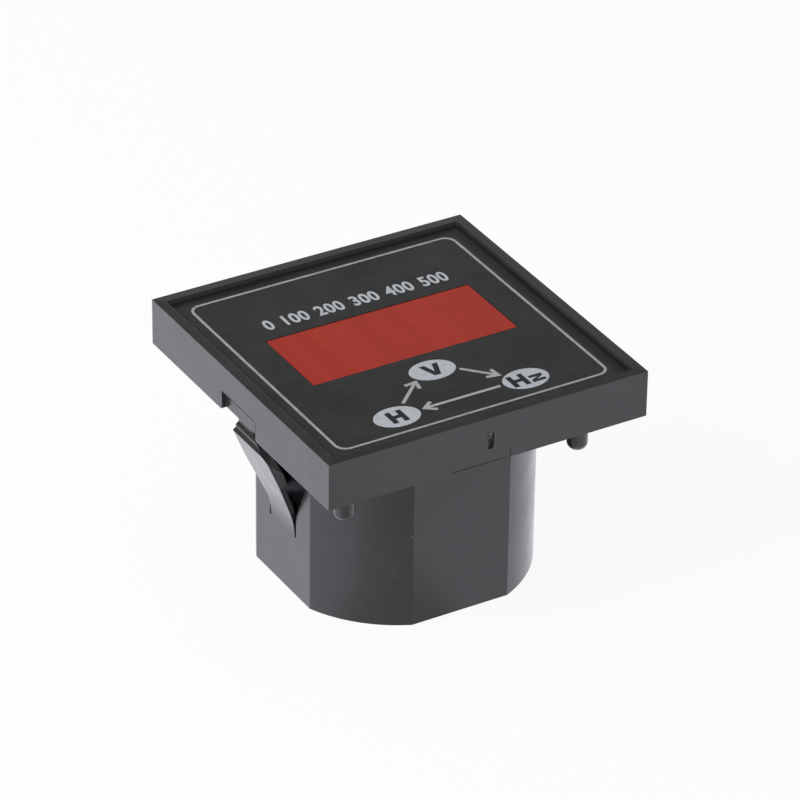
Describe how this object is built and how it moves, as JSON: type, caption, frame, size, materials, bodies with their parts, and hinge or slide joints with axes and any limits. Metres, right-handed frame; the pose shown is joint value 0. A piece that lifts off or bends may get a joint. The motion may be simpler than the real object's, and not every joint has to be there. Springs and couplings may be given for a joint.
{
  "type": "digital panel meter",
  "caption": "Square-bezel digital panel meter on a round body with flats, snap tongues, locating pegs and recessed push-on blades.",
  "frame": {"origin": "centre of the flat rear face, on which the meter stands", "axes": "+Z out of the front; +X to the right and +Y up as the front is read, parallel to the bezel's sides"},
  "size_m": [0.05, 0.05, 0.035],
  "materials": {
    "case_plastic": "smooth moulded black ABS with a soft gloss",
    "label_film": "printed film, fine matt surface",
    "red_filter": "translucent red, matt front",
    "digit_shell": "moulded grey",
    "segment_resin": "diffusing resin",
    "tinned_metal": "tinned",
    "circuit_board": "green solder resist on glass-fibre board",
    "screw_steel": "zinc plated",
    "chip_resin": "moulded resin",
    "terminal_brass": "bright brass",
    "resistor_coat": "lacquered",
    "varistor_coat": "dipped resin",
    "capacitor_sleeve": "shrunk sleeve",
    "ferrite": "sintered ferrite",
    "coil_wire": "enamelled copper"
  },
  "bodies": {
    "root": {"case": "case_plastic", "front_plate": "case_plastic", "front_label": "label_film", "window_filter": "red_filter", "digit_housing": "digit_shell", "digit_segments": "segment_resin", "digit_pins": "tinned_metal", "front_board": "circuit_board", "board_screws": "screw_steel", "display_driver": "chip_resin", "microcontroller": "chip_resin", "memory_chip": "chip_resin", "clock_crystal": "tinned_metal", "header_spacer": "chip_resin", "header_pins": "terminal_brass", "main_board": "circuit_board", "bridge_rectifier": "chip_resin", "supply_chip": "chip_resin", "voltage_regulator": "chip_resin", "fusible_resistor": "resistor_coat", "divider_resistors": "resistor_coat", "varistor": "varistor_coat", "input_capacitor": "capacitor_sleeve", "output_capacitor": "capacitor_sleeve", "inductor_core": "ferrite", "inductor_coil": "coil_wire", "terminal_blade_left": "terminal_brass", "terminal_blade_right": "terminal_brass"}
  },
  "joints": []
}
